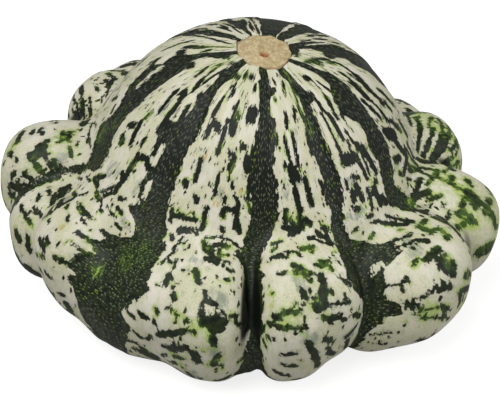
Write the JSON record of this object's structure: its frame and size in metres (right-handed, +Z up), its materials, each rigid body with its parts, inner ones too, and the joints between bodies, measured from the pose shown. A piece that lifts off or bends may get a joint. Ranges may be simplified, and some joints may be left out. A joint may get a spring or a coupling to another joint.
{
  "type": "pattypan squash",
  "caption": "Whole ripe pattypan squash, a domed crown over a ring of swollen lobes, green and cream streaked, with a corky stem scar, resting on its flattened underside.",
  "frame": {"origin": "middle of the fruit's outline seen from above, on the surface it rests on", "axes": "+Z up through the crown, +X along the widest spread of lobes, -Y towards the two lobes that lie side by side at the front"},
  "size_m": [0.208, 0.1878, 0.1138],
  "materials": {
    "rind": "satin",
    "cork": "matte"
  },
  "bodies": {
    "root": {"fruit": "rind", "stem_scar": "cork"}
  },
  "joints": []
}
